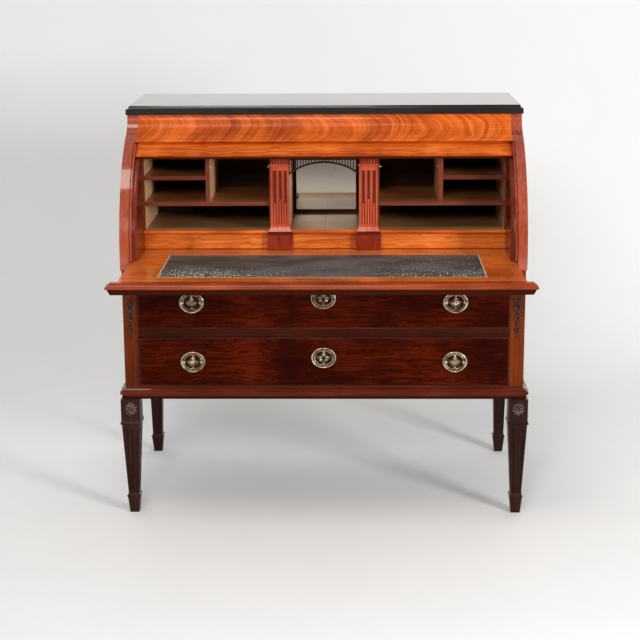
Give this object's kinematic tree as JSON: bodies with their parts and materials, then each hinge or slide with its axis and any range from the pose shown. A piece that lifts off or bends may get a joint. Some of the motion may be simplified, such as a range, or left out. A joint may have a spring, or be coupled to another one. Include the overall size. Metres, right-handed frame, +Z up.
{
  "type": "cylinder desk",
  "caption": "Cylinder desk on fluted tapering legs: a curved roll front over a fitted gallery, a pull-out leather-topped writing slide and full-width drawers with brass drop handles.",
  "frame": {"origin": "centre of the footprint, with the writing slide out as in the picture, at floor level", "axes": "+X to the right for a person facing the front, +Y to the back, +Z up"},
  "size_m": [1.184, 0.897, 1.17],
  "materials": {
    "upper_mahogany": "french polished",
    "case_mahogany": "french polished",
    "carcass_mahogany": "unpolished",
    "drawer_mahogany": "french polished",
    "dark_mahogany": "french polished",
    "leg_mahogany": "dark polished",
    "gallery_mahogany": "french polished",
    "gallery_back_wood": "stained",
    "oak": "waxed",
    "black_top": "high polish",
    "leather": "worn, gilt tooled edge",
    "brass": "aged",
    "lock_steel": "filed",
    "mirror_glass": "old silvering"
  },
  "bodies": {
    "case": {"case_bottom": "carcass_mahogany", "left_front_post": "case_mahogany", "right_front_post": "case_mahogany", "left_side_panel": "case_mahogany", "right_side_panel": "case_mahogany", "back_panel": "carcass_mahogany", "base_moulding": "dark_mahogany", "drawer_rail": "case_mahogany", "slide_rail": "case_mahogany", "drawer_runners": "oak", "drawer_guides": "oak", "slide_bearers": "oak", "front_left_leg": "leg_mahogany", "front_right_leg": "leg_mahogany", "back_left_leg": "leg_mahogany", "back_right_leg": "leg_mahogany", "left_cheek": "upper_mahogany", "right_cheek": "upper_mahogany", "left_lining": "upper_mahogany", "right_lining": "upper_mahogany", "cheek_bead_strips": "upper_mahogany", "frieze": "upper_mahogany", "top_slab": "black_top", "gallery_floor": "gallery_mahogany", "gallery_top": "gallery_mahogany", "gallery_back": "gallery_back_wood", "gallery_sides": "oak", "gallery_shelves": "gallery_mahogany", "gallery_partitions": "gallery_mahogany", "left_pilaster": "gallery_mahogany", "right_pilaster": "gallery_mahogany", "plinth_panels": "gallery_mahogany", "plinth_blocks": "gallery_mahogany", "niche_arch": "gallery_mahogany", "mirror_frame": "gallery_back_wood", "niche_mirror": "mirror_glass", "compartment_pegs": "oak"},
    "writing_slide": {"slide_board": "upper_mahogany", "leather_inset": "leather", "slide_nosing": "upper_mahogany"},
    "roll": {"roll_shell": "upper_mahogany", "roll_bottom_rail": "upper_mahogany"},
    "lower_drawer": {"lower_drawer_front": "drawer_mahogany", "lower_drawer_cockbead": "drawer_mahogany", "lower_drawer_sides_and_back": "oak", "lower_drawer_bottom": "oak", "lower_drawer_brass_plates": "brass", "lower_drawer_lock": "lock_steel"},
    "lower_left_bail": {"lower_left_bail": "brass"},
    "lower_right_bail": {"lower_right_bail": "brass"},
    "lower_lock_bolt": {"lower_lock_bolt": "lock_steel"},
    "upper_drawer": {"upper_drawer_front": "drawer_mahogany", "upper_drawer_cockbead": "drawer_mahogany", "upper_drawer_sides_and_back": "oak", "upper_drawer_bottom": "oak", "upper_drawer_brass_plates": "brass", "upper_drawer_lock": "lock_steel"},
    "upper_left_bail": {"upper_left_bail": "brass"},
    "upper_right_bail": {"upper_right_bail": "brass"},
    "upper_lock_bolt": {"upper_lock_bolt": "lock_steel"}
  },
  "joints": [
    {"name": "writing_slide", "type": "slide", "parent": "case", "child": "writing_slide", "axis": [0, 1, 0], "range_m": [0, 0.246]},
    {"name": "roll", "type": "hinge", "parent": "case", "child": "roll", "pos_m": [0, 0.2055, 0.7544], "axis": [1, 0, 0], "range_deg": [0, 50]},
    {"name": "lower_drawer", "type": "slide", "parent": "case", "child": "lower_drawer", "axis": [0, -1, 0], "range_m": [0, 0.38]},
    {"name": "lower_left_bail", "type": "hinge", "parent": "lower_drawer", "child": "lower_left_bail", "pos_m": [-0.377, -0.18, 0.4607], "axis": [-1, 0, 0], "range_deg": [0, 85]},
    {"name": "lower_right_bail", "type": "hinge", "parent": "lower_drawer", "child": "lower_right_bail", "pos_m": [0.377, -0.18, 0.4607], "axis": [-1, 0, 0], "range_deg": [0, 85]},
    {"name": "lower_lock_bolt", "type": "slide", "parent": "lower_drawer", "child": "lower_lock_bolt", "axis": [0, 0, 1], "range_m": [0, 0.008]},
    {"name": "upper_drawer", "type": "slide", "parent": "case", "child": "upper_drawer", "axis": [0, -1, 0], "range_m": [0, 0.38]},
    {"name": "upper_left_bail", "type": "hinge", "parent": "upper_drawer", "child": "upper_left_bail", "pos_m": [-0.377, -0.18, 0.6357], "axis": [-1, 0, 0], "range_deg": [0, 85]},
    {"name": "upper_right_bail", "type": "hinge", "parent": "upper_drawer", "child": "upper_right_bail", "pos_m": [0.377, -0.18, 0.6357], "axis": [-1, 0, 0], "range_deg": [0, 85]},
    {"name": "upper_lock_bolt", "type": "slide", "parent": "upper_drawer", "child": "upper_lock_bolt", "axis": [0, 0, 1], "range_m": [0, 0.008]}
  ]
}
